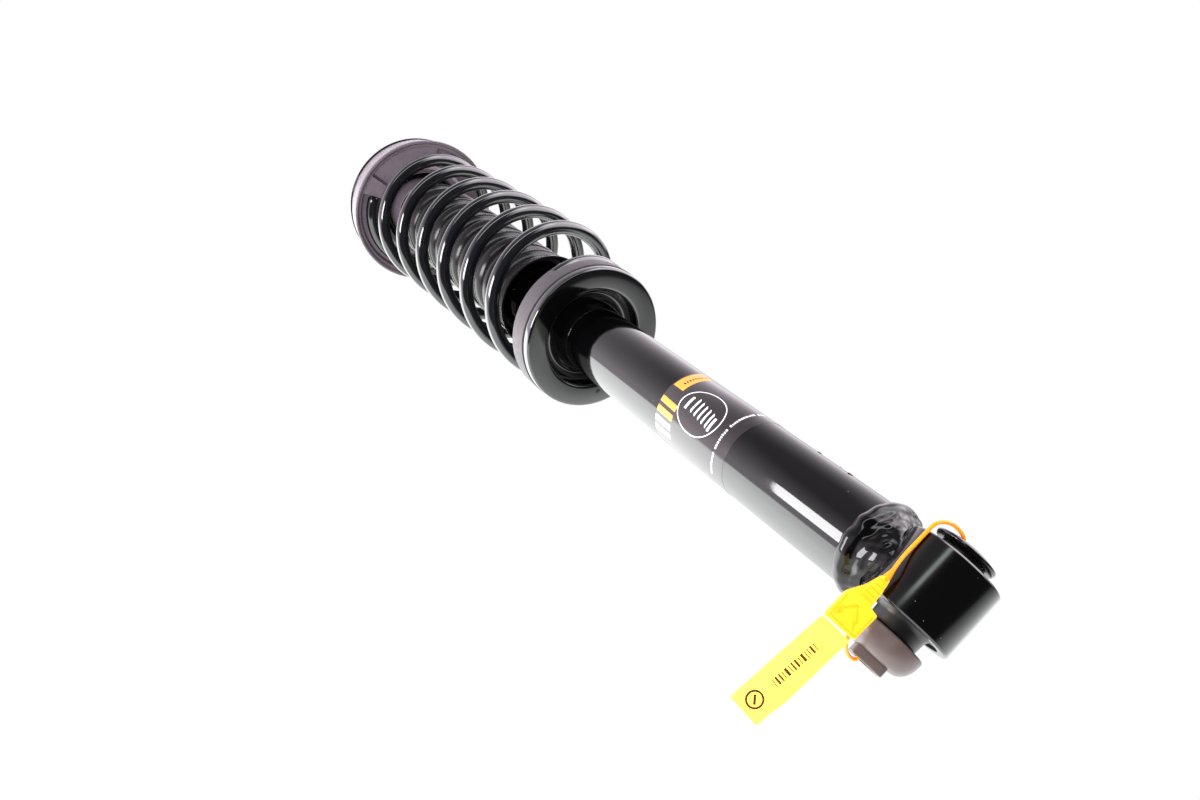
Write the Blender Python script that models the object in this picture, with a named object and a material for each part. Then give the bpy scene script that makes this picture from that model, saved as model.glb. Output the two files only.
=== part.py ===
"""A coil-over damper: a twin-tube shock absorber with its spring, dust boot, seats and upper mount.

Frame: the origin is the centre of the lower eye, +Z runs up the damper, and X is the axis of the
eye's bolt, with the square-ended side of the bush at -X. Units are metres.
"""
import bpy
import numpy as np
from math import cos, pi, radians, sin, tau

MM = 0.001
GAP = 0.3 * MM            # clearance between pieces that touch on the real unit

# Damper tube, and what is inside it
TUBE_RADIUS = 25 * MM
TUBE_WALL = 2.2 * MM
TUBE_BOTTOM = 41 * MM
TUBE_TOP = 440 * MM
PRESSURE_RADIUS = 18 * MM
PRESSURE_BORE = 16 * MM
ROD_RADIUS = 7 * MM
SPIGOT_RADIUS = 4 * MM
PISTON_Z = 340 * MM
GUIDE_Z = 402 * MM

# Lower eye and its bush
EYE_RADIUS = 26 * MM
EYE_BORE = 20.6 * MM
EYE_HALF = 19.6 * MM
NECK_RADIUS = 14 * MM
SLEEVE_RADIUS = 9.5 * MM
SLEEVE_BORE = 6.5 * MM
NEAR_FLANGE = -28.3 * MM
DOME_END = -42 * MM
BOSS_END = -47.3 * MM
BOSS_SIDE = 18 * MM
BOSS_TURN = radians(-38)
FAR_FLANGE = 24 * MM

# Spring and seats
SEAT_Z = 342 * MM
SEAT_RADIUS = 54 * MM
SEAT_SHEET = 2.4 * MM
WIRE_RADIUS = 5.5 * MM
COIL_RADIUS = 56.6 * MM
COIL_LOW_END = 47 * MM
COIL_HIGH_END = 53 * MM
COIL_PITCH = 49 * MM
COIL_LOW_Z = 363.7 * MM
COIL_HIGH_Z = 700 * MM
COIL_FRONT_Z = 662.4 * MM   # height of the wire where it crosses the -Y side for the last time
COIL_LOW_TURN = -6.85
COIL_HIGH_TURN = 0.92
COIL_STEPS = 141
COIL_BOW = 6.6 * MM         # how far the loaded spring leans towards +X

# Upper mount
RING_Z = 698 * MM
RING_RADIUS = 69.7 * MM
PLATE_Z = 726 * MM
ROD_TOP = 762 * MM
ROD_SHOULDER = 691 * MM      # the mount's sleeve is clamped down onto this
STUD_CIRCLE = 54 * MM
STUD_RADIUS = 4 * MM

# Boot and bump stop
BOOT_LIP_Z = 421 * MM
BOOT_TOP_Z = 690 * MM
BOOT_RIBS = 13
BUMP_LOW_Z = 590 * MM

# Label and security seal
LABEL_LOW_Z = 140.5 * MM
LABEL_HIGH_Z = 214.5 * MM
STRAP_RADIUS = 1 * MM
SEAL_LEAN = radians(39.2)   # turn of the seal's flat face about X, away from -Z towards -Y


def clear_scene():
    for item in list(bpy.data.objects):
        bpy.data.objects.remove(item, do_unlink=True)


def finish(name, hex_colour, roughness, metallic):
    """A plain material with one sRGB colour."""
    channels = [int(hex_colour[i:i + 2], 16) / 255 for i in (0, 2, 4)]
    linear = [c / 12.92 if c <= 0.04045 else ((c + 0.055) / 1.055) ** 2.4 for c in channels]
    made = bpy.data.materials.new(name)
    made.use_nodes = True
    shader = made.node_tree.nodes["Principled BSDF"]
    shader.inputs["Base Color"].default_value = (*linear, 1)
    shader.inputs["Roughness"].default_value = roughness
    shader.inputs["Metallic"].default_value = metallic
    return made


def add_object(name, points, faces, material, parent=None):
    """A named, smooth-shaded mesh object, put under the empty of the body that carries it."""
    mesh = bpy.data.meshes.new(name)
    mesh.from_pydata([tuple(p) for p in points], [], faces)
    mesh.shade_smooth()
    mesh.set_sharp_from_angle(angle=radians(35))
    mesh.materials.append(material)
    made = bpy.data.objects.new(name, mesh)
    bpy.context.scene.collection.objects.link(made)
    if parent:
        made.parent = parent
        made.matrix_parent_inverse = parent.matrix_world.inverted()
    return made


def swept_faces(rings, sides, closed):
    """Quads between rings of equal size, with end caps unless the rings close on themselves."""
    faces = []
    for i in range(rings if closed else rings - 1):
        a, b = i * sides, (i + 1) % rings * sides
        for j in range(sides):
            k = (j + 1) % sides
            faces.append((a + j, a + k, b + k, b + j))
    if not closed:
        faces.append(tuple(range(sides))[::-1])
        faces.append(tuple(range((rings - 1) * sides, rings * sides)))
    return faces


def outward(points, faces):
    """The faces, turned over if together they enclose a negative volume."""
    volume = 0
    for face in faces:
        for j in range(1, len(face) - 1):
            a, b, c = (points[face[i]] for i in (0, j, j + 1))
            volume += np.dot(a, np.cross(b, c))
    return faces if volume > 0 else [face[::-1] for face in faces]


def turned(name, profile, material, parent=None, axis="Z", sides=28, flats=None):
    """A closed profile of (radius, height) points turned about X or Z.

    Points of radius 0 become poles. flats is a function of radius, height and angle that gives the
    factor on the radius, for a nut or another piece whose section isn't round.
    """
    points, rings = [], []
    for radius, height in profile:
        count = 1 if radius == 0 else sides
        rings.append(list(range(len(points), len(points) + count)))
        for j in range(count):
            angle = tau * j / sides
            r = radius * (flats(radius, height, angle) if flats else 1)
            around = (r * cos(angle), r * sin(angle))
            points.append((height, *around) if axis == "X" else (*around, height))
    faces = []
    for low, high in zip(rings, rings[1:] + rings[:1]):
        for j in range(sides):
            k = (j + 1) % sides
            corners = [low[j % len(low)], low[k % len(low)], high[k % len(high)], high[j % len(high)]]
            kept = list(dict.fromkeys(corners))
            if len(kept) > 2:
                faces.append(tuple(kept))
    points = np.array(points)
    return add_object(name, points, outward(points, faces), material, parent)


def tube(name, outer, inner, low, high, material, parent=None, axis="Z", sides=28):
    """A plain ring or sleeve between two heights."""
    profile = [(outer, high), (outer, low), (inner, low), (inner, high)]
    return turned(name, profile, material, parent, axis, sides)


def arc(centre_r, centre_z, radius, start, end, steps):
    """Points of a round corner in a profile, from one angle to another in degrees."""
    angles = np.radians(np.linspace(start, end, steps + 1))
    return [(centre_r + radius * cos(a), centre_z + radius * sin(a)) for a in angles]


def wire(name, path, radius, sides, material, parent=None):
    """A round section carried along an open path, kept square to it."""
    path = np.array(path)
    along = np.gradient(path, axis=0)
    along /= np.linalg.norm(along, axis=1)[:, None]
    across = np.cross(along[0], (0.3, 0.2, 1))
    points = []
    for place, tangent in zip(path, along):
        across = across - tangent * np.dot(across, tangent)
        across /= np.linalg.norm(across)
        other = np.cross(tangent, across)
        for j in range(sides):
            angle = tau * j / sides
            points.append(place + radius * (cos(angle) * across + sin(angle) * other))
    points = np.array(points)
    faces = swept_faces(len(path), sides, closed=False)
    return add_object(name, points, outward(points, faces), material, parent)


def prism(name, outline, low, high, place, material, parent=None):
    """A flat outline given a thickness, with place turning (u, w, n) into X, Y, Z."""
    rings = [[place(u, w, n) for u, w in outline] for n in (low, high)]
    points = np.array(rings[0] + rings[1])
    faces = swept_faces(2, len(outline), closed=False)
    return add_object(name, points, outward(points, faces), material, parent)


def polygon_factor(angle, sides):
    """How far a regular polygon's edge lies from its centre, against its inner radius."""
    sector = tau / sides
    return 1 / cos((angle + sector / 2) % sector - sector / 2)


def nut(name, half_width, bore, low, high, material, parent):
    """A plain hexagon nut on the Z axis, with a round bore."""
    def flats(radius, height, angle):
        return polygon_factor(angle, 6) if radius > bore else 1
    profile = [(half_width, high), (half_width, low), (bore, low), (bore, high)]
    return turned(name, profile, material, parent, sides=24, flats=flats)


def subtract(target, cutter):
    """Cuts a hidden helper from a piece."""
    cutter.hide_render = True
    cutter.display_type = "WIRE"
    cut = target.modifiers.new("cut_" + cutter.name, "BOOLEAN")
    cut.operation = "DIFFERENCE"
    cut.solver = "EXACT"
    cut.object = cutter


def body(name, location):
    """The empty that a body's pieces hang from, on the body's joint."""
    made = bpy.data.objects.new(name, None)
    made.location = location
    bpy.context.scene.collection.objects.link(made)
    bpy.context.view_layer.update()
    return made


def make_tube_group(black, steel, rubber, plain):
    """The lower half: tube, weld, internals that stay with it."""
    inside = TUBE_RADIUS - TUBE_WALL
    lip = 18 * MM
    turned("outer_tube", [
        (TUBE_RADIUS, TUBE_TOP - 2 * MM), (TUBE_RADIUS, TUBE_BOTTOM), (inside, TUBE_BOTTOM),
        (inside, TUBE_TOP - 3 * MM), (lip, TUBE_TOP - 3 * MM), (lip, TUBE_TOP),
        (TUBE_RADIUS - 2 * MM, TUBE_TOP)], black, sides=40)
    turned("base_cap", [
        (inside - GAP, 48 * MM), (inside - GAP, TUBE_BOTTOM), (0, TUBE_BOTTOM),
        (0, 44 * MM), (12 * MM, 44 * MM), (18 * MM, 48 * MM)], steel)
    weld = turned("weld_bead", [
        (0, 40.7 * MM), (25.2 * MM, 40.7 * MM), (27.4 * MM, 39.3 * MM), (27.8 * MM, 37 * MM),
        (26.9 * MM, 33 * MM), (24 * MM, 29 * MM), (19.2 * MM, 26.5 * MM), (18.6 * MM, 14 * MM),
        (0, 14 * MM)], black, sides=28)
    saddle = turned("weld_saddle", [
        (EYE_RADIUS + GAP, -40 * MM), (EYE_RADIUS + GAP, 40 * MM), (0, 40 * MM), (0, -40 * MM)],
        black, axis="X", sides=48)
    subtract(weld, saddle)

    tube("pressure_tube", PRESSURE_RADIUS, PRESSURE_BORE, 62 * MM, GUIDE_Z - GAP, steel)
    turned("base_valve", [
        (PRESSURE_RADIUS, 61.7 * MM), (PRESSURE_RADIUS, 58 * MM), (20.5 * MM, 48.3 * MM),
        (14 * MM, 48.3 * MM), (12 * MM, 54 * MM), (3 * MM, 54 * MM), (3 * MM, 67 * MM),
        (15.6 * MM, 67 * MM), (15.6 * MM, 61.7 * MM)], steel, sides=20)
    tube("base_valve_disc", 11 * MM, 3.4 * MM, 67.3 * MM, 68.1 * MM, steel, sides=20)
    turned("base_valve_pin", [
        (2.6 * MM, 68.6 * MM), (2.6 * MM, 53 * MM), (5 * MM, 53 * MM), (5 * MM, 50 * MM), (0, 50 * MM),
        (0, 71.5 * MM), (5 * MM, 71.5 * MM), (5 * MM, 68.6 * MM)], steel, sides=20)

    guide_bore = 9.3 * MM
    turned("rod_guide", [
        (inside - GAP, 420 * MM), (inside - GAP, GUIDE_Z), (PRESSURE_BORE - GAP, GUIDE_Z),
        (PRESSURE_BORE - GAP, 391 * MM), (guide_bore, 391 * MM), (guide_bore, 420 * MM)], steel)
    tube("guide_bush", guide_bore - GAP, ROD_RADIUS + GAP, 392 * MM, 419 * MM, plain, sides=24)
    tube("rod_seal", inside - GAP, ROD_RADIUS + GAP, 420.3 * MM, 428 * MM, rubber)
    tube("seal_washer", inside - GAP, 8 * MM, 428.3 * MM, TUBE_TOP - 3 * MM - GAP, steel)
    cap = TUBE_RADIUS + GAP
    turned("strike_cap", [
        (cap + 1.4 * MM, 444 * MM), (cap + 1.4 * MM, 430 * MM), (cap, 430 * MM),
        (cap, TUBE_TOP + GAP), (9 * MM, TUBE_TOP + GAP), (9 * MM, 443 * MM),
        (14 * MM, 443 * MM), (18 * MM, 444 * MM)], black)


def make_eye_group(black, satin, rubber, sleeve_body):
    """The welded eye, its bonded rubber and the sleeve that twists in it."""
    bevel = 0.9 * MM
    turned("lower_eye", [
        (EYE_RADIUS, EYE_HALF - bevel), (EYE_RADIUS, bevel - EYE_HALF), (EYE_RADIUS - bevel, -EYE_HALF),
        (EYE_BORE, -EYE_HALF), (EYE_BORE, EYE_HALF), (EYE_RADIUS - bevel, EYE_HALF)],
        satin, axis="X", sides=48)
    shell = EYE_BORE - GAP
    bore = SLEEVE_RADIUS + GAP
    turned("bush_rubber", [
        (shell, 18.6 * MM), (shell, -18.6 * MM), (NECK_RADIUS + 2.5 * MM, -18.9 * MM),
        (NECK_RADIUS, -21 * MM), (NECK_RADIUS, NEAR_FLANGE + GAP), (bore, NEAR_FLANGE + GAP),
        (bore, FAR_FLANGE - GAP), (NECK_RADIUS - 1 * MM, FAR_FLANGE - GAP),
        (NECK_RADIUS - 1 * MM, 21 * MM), (NECK_RADIUS + 2.5 * MM, 18.9 * MM)],
        rubber, axis="X", sides=28)

    half = BOSS_SIDE / 2
    corner = 12.2 * MM
    rim = 19.6 * MM

    def squared(radius, height, angle):
        """Round along the sleeve, square at the boss, with the square's corners rounded off."""
        if radius < SLEEVE_RADIUS or height > DOME_END - 0.1 * MM:
            return 1
        return min(half * polygon_factor(angle + BOSS_TURN, 4), corner) / corner

    dome_low = -30.4 * MM
    dome = [(corner + (rim - corner) * sin(t), dome_low + (DOME_END - dome_low) * cos(t))
            for t in np.linspace(pi / 2, 0, 6)]
    turned("bush_sleeve", [
        (SLEEVE_RADIUS, 27.6 * MM), (SLEEVE_RADIUS, NEAR_FLANGE), (19 * MM, NEAR_FLANGE),
        (rim, -29 * MM), *dome, (corner, DOME_END - 0.4 * MM), (corner, BOSS_END),
        (SLEEVE_BORE, BOSS_END), (SLEEVE_BORE, 27.6 * MM)],
        satin, sleeve_body, "X", 32, squared)
    turned("bush_washer", [
        (17 * MM, 26.6 * MM), (17 * MM, 25 * MM), (16.2 * MM, FAR_FLANGE), (bore, FAR_FLANGE),
        (bore, 28 * MM), (12.5 * MM, 28 * MM)], satin, sleeve_body, "X", 28)


def make_seat_group(black, rubber):
    """The pressed lower spring seat and the rubber that the spring stands on."""
    sheet = SEAT_SHEET
    neck = TUBE_RADIUS + GAP
    under = [
        *arc(SEAT_RADIUS - 3 * MM, SEAT_Z + 3 * MM, 3 * MM, 0, -90, 2),
        *arc(38.2 * MM, SEAT_Z + 2 * MM, 2 * MM, -90, -160, 1),
        (34.4 * MM, SEAT_Z + 10 * MM), *arc(31 * MM, SEAT_Z + 10.2 * MM, 2.4 * MM, 20, 90, 1)]
    neck_low = SEAT_Z - 3 * MM
    upper = [
        (neck + sheet, SEAT_Z + 11 * MM), (neck + sheet, neck_low), (neck, neck_low),
        (neck, SEAT_Z + 15 * MM), (33.6 * MM, SEAT_Z + 15 * MM), (36.6 * MM, SEAT_Z + 12 * MM),
        (39.8 * MM, SEAT_Z + sheet + 0.5 * MM), (SEAT_RADIUS - sheet - 2 * MM, SEAT_Z + sheet),
        (SEAT_RADIUS - sheet, SEAT_Z + 4.5 * MM), (SEAT_RADIUS - sheet, SEAT_Z + 8 * MM)]
    turned("spring_seat", [(SEAT_RADIUS, SEAT_Z + 8 * MM), *under, *upper], black, sides=40)

    floor = COIL_LOW_Z - WIRE_RADIUS - GAP
    turned("lower_isolator", [
        (54.4 * MM, SEAT_Z + 25 * MM), (54.4 * MM, SEAT_Z + 8.6 * MM),
        (51 * MM, SEAT_Z + 8.4 * MM), (48.5 * MM, SEAT_Z + 3.2 * MM), (41.5 * MM, SEAT_Z + 3.2 * MM),
        (38.4 * MM, SEAT_Z + 12 * MM), (38.4 * MM, SEAT_Z + 22 * MM), (40.6 * MM, SEAT_Z + 22 * MM),
        (41.1 * MM, floor), (53 * MM, floor), (53 * MM, SEAT_Z + 25 * MM)], rubber, sides=36)


def coil_path():
    """The wire's centre line, from its lower end to its upper end.

    A turn is counted from where the wire crosses the -Y side at COIL_FRONT_Z, and the middle
    climbs by one pitch a turn. At each end the last turn flattens onto its seat and draws in to
    the seat's radius, by a smooth step, and the middle leans towards +X.
    """
    turns = np.linspace(COIL_LOW_TURN, COIL_HIGH_TURN, COIL_STEPS)
    from_low = turns - COIL_LOW_TURN
    from_high = COIL_HIGH_TURN - turns

    def smooth(x):
        x = np.clip(x, 0, 1)
        return x * x * (3 - 2 * x)

    height = COIL_FRONT_Z + COIL_PITCH * turns
    height = COIL_LOW_Z + (height - COIL_LOW_Z) * smooth((from_low - 0.6) / 0.5)
    height = COIL_HIGH_Z + (height - COIL_HIGH_Z) * smooth((from_high - 0.05) / 0.6)
    radius = COIL_RADIUS - (COIL_RADIUS - COIL_LOW_END) * (1 - smooth((from_low - 0.75) / 1.15))
    radius -= (COIL_RADIUS - COIL_HIGH_END) * (1 - smooth(from_high / 0.9))
    share = np.clip((height - COIL_LOW_Z) / (COIL_HIGH_Z - COIL_LOW_Z), 0, 1)
    bow = COIL_BOW * smooth(share / 0.15) * (1 - share) ** 0.6
    angle = tau * turns - pi / 2
    return np.stack([bow + radius * np.cos(angle), radius * np.sin(angle), height], 1)


def make_boot(boot_rubber, upper_body):
    """The bellows: a ribbed sleeve with a smooth open lower lip and a closed-in collar on top."""
    wall = 1.4 * MM
    crest, root, collar = 36.6 * MM, 31.5 * MM, 28 * MM
    ribs_low, ribs_high = BOOT_LIP_Z + 16 * MM, BOOT_TOP_Z - 22 * MM
    step = (ribs_high - ribs_low) / BOOT_RIBS
    wave = []
    for i in range(BOOT_RIBS):
        wave += [(root, ribs_low + i * step), (crest, ribs_low + (i + 0.5) * step)]
    outer = [(39 * MM, BOOT_LIP_Z), (37.6 * MM, BOOT_LIP_Z + 7 * MM), *wave,
             (collar, ribs_high), (collar, BOOT_TOP_Z)]
    inner = [(radius - wall, height) for radius, height in outer]
    return turned("dust_boot", outer[::-1] + inner, boot_rubber, upper_body, sides=20)


def make_rod_group(steel, chrome, plain, foam, upper_body):
    """The rod and everything fixed to it inside the tube, and the bump stop round it."""
    turned("piston_rod", [
        (ROD_RADIUS, ROD_SHOULDER), (ROD_RADIUS, 359 * MM), (SPIGOT_RADIUS, 359 * MM),
        (SPIGOT_RADIUS, 326 * MM), (0, 326 * MM), (0, ROD_TOP), (5.2 * MM, ROD_TOP),
        (6 * MM, ROD_TOP - 1 * MM), (6 * MM, ROD_SHOULDER)], chrome, upper_body, sides=20)
    bore = SPIGOT_RADIUS + GAP
    turned("piston", [
        (15.7 * MM, PISTON_Z + 15 * MM), (15.7 * MM, PISTON_Z + 12.6 * MM), (14.4 * MM, PISTON_Z + 12.6 * MM),
        (14.4 * MM, PISTON_Z + 3.4 * MM), (15.7 * MM, PISTON_Z + 3.4 * MM), (15.7 * MM, PISTON_Z),
        (bore, PISTON_Z), (bore, PISTON_Z + 15 * MM)], steel, upper_body, sides=20)
    tube("piston_band", 15.75 * MM, 14.7 * MM, PISTON_Z + 3.7 * MM, PISTON_Z + 12.3 * MM, plain,
         upper_body, sides=20)
    tube("shims_rebound", 11 * MM, bore, PISTON_Z - 3.3 * MM, PISTON_Z - GAP, steel, upper_body, sides=20)
    tube("shims_compression", 12.5 * MM, bore, PISTON_Z + 15.3 * MM, 358.7 * MM, steel, upper_body, sides=20)
    nut("piston_nut", 6.5 * MM, bore, 328 * MM, PISTON_Z - 3.6 * MM, steel, upper_body)
    tube("rebound_stop", 13 * MM, ROD_RADIUS + GAP, 382.7 * MM, 390.7 * MM, plain, upper_body, sides=24)

    inner = ROD_RADIUS + 1 * MM
    lobes = [(17 * MM, BUMP_LOW_Z), (20 * MM, 596 * MM), (20 * MM, 610 * MM), (15 * MM, 615 * MM),
             (21.5 * MM, 621 * MM), (21.5 * MM, 636 * MM), (16 * MM, 641 * MM), (23 * MM, 648 * MM),
             (23 * MM, 688.2 * MM)]
    turned("bump_stop", lobes[::-1] + [(inner, BUMP_LOW_Z), (inner, 688.2 * MM)], foam, upper_body, sides=20)


def make_upper_mount(black, steel, rubber, upper_body):
    """The spring's upper isolator, the mount plate with its studs, and the rod's nut."""
    top = COIL_HIGH_Z + WIRE_RADIUS + GAP
    turned("upper_isolator", [
        (RING_RADIUS, RING_Z + 1.5 * MM), (RING_RADIUS - 1 * MM, RING_Z), (RING_RADIUS - 3 * MM, RING_Z),
        (RING_RADIUS - 4.5 * MM, RING_Z + 4 * MM), (63 * MM, RING_Z + 4.5 * MM), (62 * MM, top),
        (46.4 * MM, top), (45.6 * MM, RING_Z + 1 * MM), (42 * MM, RING_Z - 1 * MM), (38 * MM, RING_Z + 1 * MM),
        (38 * MM, PLATE_Z - GAP), (65 * MM, PLATE_Z - GAP), (67.5 * MM, RING_Z + 14 * MM)],
        rubber, upper_body, sides=36)
    skirt, cup_top = 25.8 * MM, 690.7 * MM
    turned("bump_cup", [
        (skirt, cup_top), (skirt, 672 * MM), (23.6 * MM, 672 * MM), (23.6 * MM, 688.6 * MM),
        (7.6 * MM, 688.6 * MM), (7.6 * MM, cup_top)], steel, upper_body, sides=20)
    sheet = 3 * MM
    turned("mount_plate", [
        (66 * MM, PLATE_Z + sheet), (66 * MM, PLATE_Z), (34 * MM, PLATE_Z), (34 * MM, 708 * MM),
        (31 * MM, 708 * MM), (31 * MM, 742 * MM), (15 * MM, 742 * MM), (15 * MM, 745 * MM),
        (33 * MM, 745 * MM), (34 * MM, 744 * MM), (34 * MM, PLATE_Z + sheet)],
        black, upper_body, sides=32)
    turned("mount_rubber", [
        (30.7 * MM, 741.7 * MM), (30.7 * MM, 708 * MM), (26 * MM, 696 * MM), (21 * MM, 691.2 * MM),
        (13.3 * MM, 691.2 * MM), (13.3 * MM, 741.7 * MM)], rubber, upper_body, sides=24)
    tube("mount_sleeve", 13 * MM, 6.3 * MM, ROD_SHOULDER + GAP, 744.5 * MM, steel, upper_body, sides=20)
    tube("rod_washer", 14.5 * MM, 6.3 * MM, 745.4 * MM, 747.9 * MM, steel, upper_body, sides=20)
    nut("rod_nut", 9 * MM, 6.3 * MM, 748.2 * MM, 757 * MM, steel, upper_body)
    for number in range(3):
        angle = radians(90 + 120 * number)
        foot = PLATE_Z + sheet + GAP
        stud = turned(f"mount_stud_{number + 1}", [
            (STUD_RADIUS, 752 * MM), (STUD_RADIUS, foot + 2 * MM), (6 * MM, foot + 1.4 * MM), (6 * MM, foot),
            (0, foot), (0, 753 * MM), (3.2 * MM, 753 * MM)], steel, upper_body, sides=12)
        stud.location = (STUD_CIRCLE * cos(angle), STUD_CIRCLE * sin(angle), 0)


def seal_place(u, w, n):
    """The seal's own directions: u out along -X, w across its face, n away from the damper."""
    return (-u, w * cos(SEAL_LEAN) - n * sin(SEAL_LEAN), -w * sin(SEAL_LEAN) - n * cos(SEAL_LEAN))


def make_seal(plastic):
    """The numbered security seal: a flag, a lock and a strap threaded through the bush.

    The outlines and the strap's route are places in the seal's own directions, in millimetres.
    """
    flag = [(45, -35.3), (102.1, -40.8), (103.3, -22.7), (93.7, -21.6), (86.3, -20.1), (44.3, -17.7)]
    lock = [(8.8, -23.6), (12.3, -27.5), (20.2, -29.9), (29.1, -35), (44.7, -35.3), (44, -16.9),
            (28, -16.3), (27, -21.5), (19.1, -22)]
    route = [(8.3, -25.2, 17.4), (5, -25.3, 16.6), (0, -25.2, 14.6), (-6, -24.8, 12.8), (-12, -24.6, 12.4),
             (-19, -24.5, 12.4), (-22.5, -24.2, 12.2), (-25.5, -22.8, 11.5), (-28, -20, 10.1),
             (-29.7, -16.5, 8.3), (-30.3, -13, 6.5), (-30.3, -9.8, 4.9), (-29.7, -7, 3.5),
             (-28.6, -5.4, 2.7), (-27, -4.65, 2.3), (-23, -4.6, 2.3), (-10, -4.6, 2.3), (10, -4.6, 2.3),
             (30, -4.6, 2.3), (43, -4.6, 2.3), (46.5, -4.65, 2.3), (48.6, -5, 2.4), (49.6, -6.6, 3.4),
             (49.8, -9, 5.3), (49.5, -12, 8.2), (48.2, -15, 11.4), (46, -17.6, 13.7), (43, -19.4, 14.5)]
    scaled = [(u * MM, w * MM) for u, w in flag]
    prism("seal_flag", scaled, 16.6 * MM, 17.9 * MM, seal_place, plastic)
    scaled = [(u * MM, w * MM) for u, w in lock]
    prism("seal_lock", scaled, 15.9 * MM, 19.5 * MM, seal_place, plastic)
    places = [seal_place(u * MM, w * MM, n * MM) for u, w, n in route]
    wire("seal_strap", places, STRAP_RADIUS, 6, plastic)


def main():
    clear_scene()
    black = finish("gloss_black_paint", "0A0A0C", 0.12, 0)
    satin = finish("satin_black_coat", "121214", 0.3, 0)
    steel = finish("plain_steel", "9A9B9E", 0.35, 1)
    chrome = finish("hard_chrome", "D8DADF", 0.08, 1)
    rubber = finish("black_rubber", "1C1A1D", 0.6, 0)
    boot_rubber = finish("boot_rubber", "1A191C", 0.42, 0)
    foam = finish("bump_foam", "D9C27A", 0.8, 0)
    plain = finish("bearing_bronze", "8C6A3C", 0.4, 1)
    film = finish("label_film", "2A2426", 0.25, 0)
    plastic = finish("yellow_seal", "F4E24C", 0.35, 0)

    sleeve_body = body("bush_axis", (0, 0, 0))
    upper_body = body("rod_axis", (0, 0, RING_Z))
    make_tube_group(black, steel, rubber, plain)
    make_eye_group(black, satin, rubber, sleeve_body)
    make_seat_group(black, rubber)
    wire("coil_spring", coil_path(), WIRE_RADIUS, 7, black)
    make_boot(boot_rubber, upper_body)
    make_rod_group(steel, chrome, plain, foam, upper_body)
    make_upper_mount(black, steel, rubber, upper_body)
    tube("label_band", TUBE_RADIUS + GAP + 0.25 * MM, TUBE_RADIUS + GAP, LABEL_LOW_Z, LABEL_HIGH_Z,
         film, sides=32)
    make_seal(plastic)


main()
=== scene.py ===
"""A coil-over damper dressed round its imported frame: gloss black steel, satin rubber, a clear label
film and a yellow security seal.

Lengths in the shape functions are millimetres; the pieces are in metres. The lower eye's centre is
the origin, +Z runs up the damper and X is the axis of the eye's bolt.
"""

import bpy
import numpy as np
from mathutils import Matrix, Vector


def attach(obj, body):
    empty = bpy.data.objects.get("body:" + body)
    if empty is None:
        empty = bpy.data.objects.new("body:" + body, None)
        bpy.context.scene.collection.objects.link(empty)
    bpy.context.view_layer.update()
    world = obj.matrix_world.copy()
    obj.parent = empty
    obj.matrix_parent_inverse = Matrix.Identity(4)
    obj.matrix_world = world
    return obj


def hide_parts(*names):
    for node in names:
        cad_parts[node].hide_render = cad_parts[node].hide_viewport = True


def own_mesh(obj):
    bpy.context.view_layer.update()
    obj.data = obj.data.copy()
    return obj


MM = 0.001
TAU = 2 * np.pi

# Millimetres, but for the angles. Heights are above the centre of the eye.
TUBE_RADIUS = 25.0
EYE_RADIUS, EYE_HALF = 26.0, 19.6
WIRE_RADIUS, WIRE_PITCH = 5.5, 49.0
COIL_LOW_Z, COIL_HIGH_Z = 363.7, 700.0      # the wire's centre on its two seats
COIL_FROM, COIL_TO = -6.85, 0.92            # the coil's ends, in turns
STUD_CIRCLE = 54.0
LABEL_RADIUS = 25.1
LABEL_LOW_Z, LABEL_HIGH_Z = 140.5, 214.5
SEAL_LEAN = np.radians(39.2)

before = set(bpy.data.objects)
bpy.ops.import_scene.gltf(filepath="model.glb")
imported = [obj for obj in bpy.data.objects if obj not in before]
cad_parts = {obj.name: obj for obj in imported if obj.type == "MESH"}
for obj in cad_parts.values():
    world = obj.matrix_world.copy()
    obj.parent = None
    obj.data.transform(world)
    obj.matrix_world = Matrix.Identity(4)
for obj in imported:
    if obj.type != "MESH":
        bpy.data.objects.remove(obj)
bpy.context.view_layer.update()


# ---------------------------------------------------------------- shapes

def grid_faces(rows, columns, close_rows=False, close_columns=True):
    """Quads between neighbouring points of a grid, wrapping round where it closes on itself."""
    i = np.arange(rows if close_rows else rows - 1)[:, None]
    j = np.arange(columns if close_columns else columns - 1)[None, :]
    up, across = (i + 1) % rows, (j + 1) % columns
    corners = [i * columns + j, i * columns + across, up * columns + across, up * columns + j]
    return np.stack(np.broadcast_arrays(*corners), -1).reshape(-1, 4)


def make_piece(name, points, faces, finish, body, stands_for=(), caps=(), sharp=35):
    """A mesh object at the origin, riding on a body. Its faces are turned over if together they
    enclose a negative volume: the sum over triangles of a . (b x c)."""
    points = np.asarray(points, float).reshape(-1, 3) * MM
    faces = np.asarray(faces, int)
    a, b, c, d = (points[faces[:, k]] for k in range(4))
    volume = np.einsum("ij,ij->", a, np.cross(b, c)) + np.einsum("ij,ij->", a, np.cross(c, d))
    turned_over = volume < 0
    polygons = (faces[:, ::-1] if turned_over else faces).tolist()
    polygons += [list(cap[::-1] if turned_over else cap) for cap in caps]
    mesh = bpy.data.meshes.new(name)
    mesh.from_pydata(points.tolist(), [], polygons)
    mesh.shade_smooth()
    mesh.set_sharp_from_angle(angle=np.radians(sharp))
    mesh.materials.append(finish)
    made = bpy.data.objects.new(name, mesh)
    bpy.context.scene.collection.objects.link(made)
    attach(made, body)
    if stands_for:
        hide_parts(*stands_for)
    return made


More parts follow.
